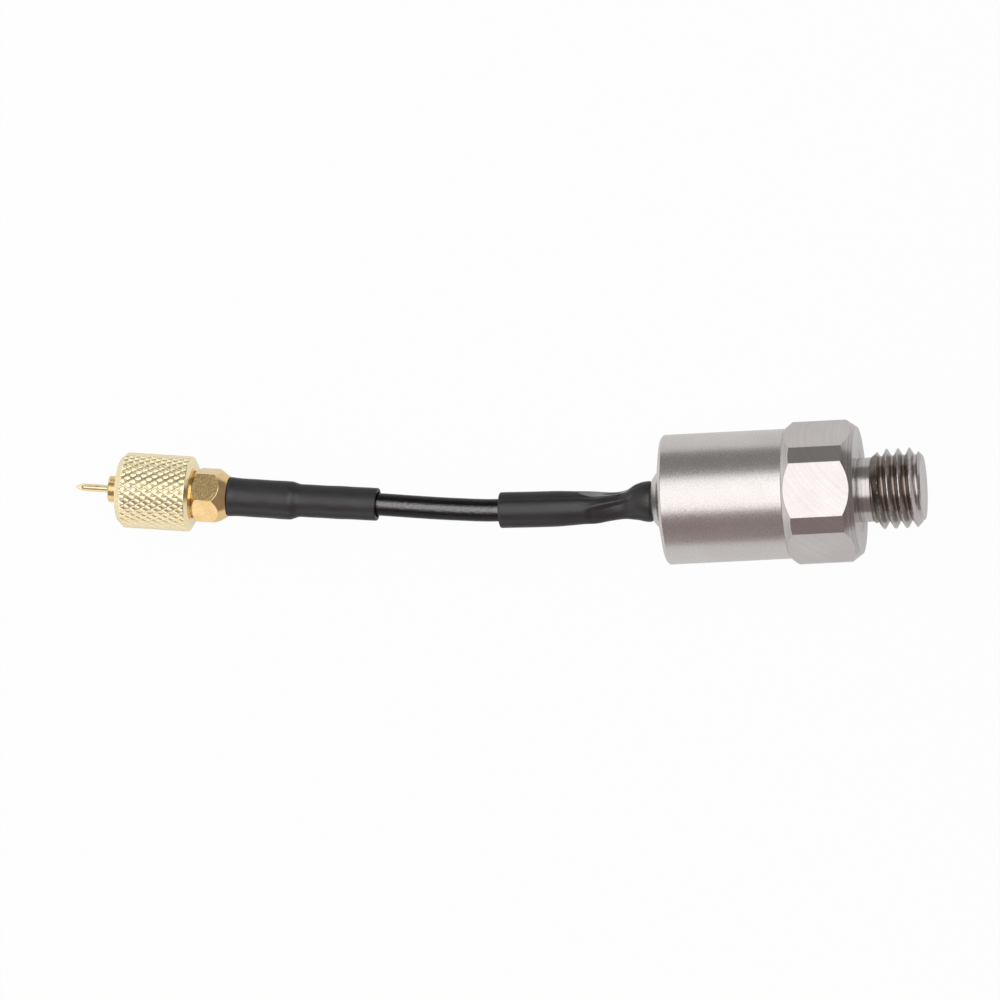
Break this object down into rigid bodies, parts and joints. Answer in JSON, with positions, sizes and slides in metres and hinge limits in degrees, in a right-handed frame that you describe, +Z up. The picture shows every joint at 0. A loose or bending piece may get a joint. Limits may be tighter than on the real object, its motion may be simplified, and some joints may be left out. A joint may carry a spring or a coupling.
{
  "type": "vibration sensor",
  "caption": "Stud-mounted piezo vibration sensor: round steel can on a hexagonal base with a threaded stud, and a short coaxial pigtail ending in a gold-plated screw-on plug.",
  "frame": {"origin": "centre of the flat seat face around the stud", "axes": "+X along the stud, out of the seat face; +Z up, square to the hexagon flat that the sensor lies on"},
  "size_m": [0.0682, 0.0116, 0.0106],
  "materials": {
    "base_steel": "satin",
    "can_steel": "satin",
    "white_ceramic": "satin",
    "piezo_ceramic": "matte",
    "heavy_alloy": "satin",
    "spring_steel": "gloss",
    "ptfe": "satin",
    "black_plastic": "matte",
    "board_green": "gloss",
    "copper": "gloss",
    "cable_jacket": "gloss",
    "shrink_sleeve": "matte",
    "gold": "gloss"
  },
  "bodies": {
    "sensor": {"base": "base_steel", "can": "can_steel", "base_insulator": "white_ceramic", "post_sleeve": "ptfe", "lower_crystal": "piezo_ceramic", "electrode": "gold", "upper_crystal": "piezo_ceramic", "seismic_mass": "heavy_alloy", "spring_washer": "spring_steel", "preload_nut": "base_steel", "board_carrier": "black_plastic", "circuit_board": "board_green", "board_components": "black_plastic", "signal_lead": "copper", "ground_lead": "copper", "cable_core": "copper", "cable": "cable_jacket", "sensor_sleeve": "shrink_sleeve", "plug_sleeve": "shrink_sleeve", "crimp_ferrule": "gold", "plug_body": "gold", "plug_insulator": "ptfe", "plug_core": "copper", "centre_pin": "gold", "retaining_ring": "spring_steel"},
    "nut": {"coupling_nut": "gold"}
  },
  "joints": [
    {"name": "nut_spin", "type": "hinge", "parent": "sensor", "child": "nut", "pos_m": [-0.05646, 0.00273, -0.00193], "axis": [-0.991, 0.1147, -0.0698], "continuous": true}
  ]
}
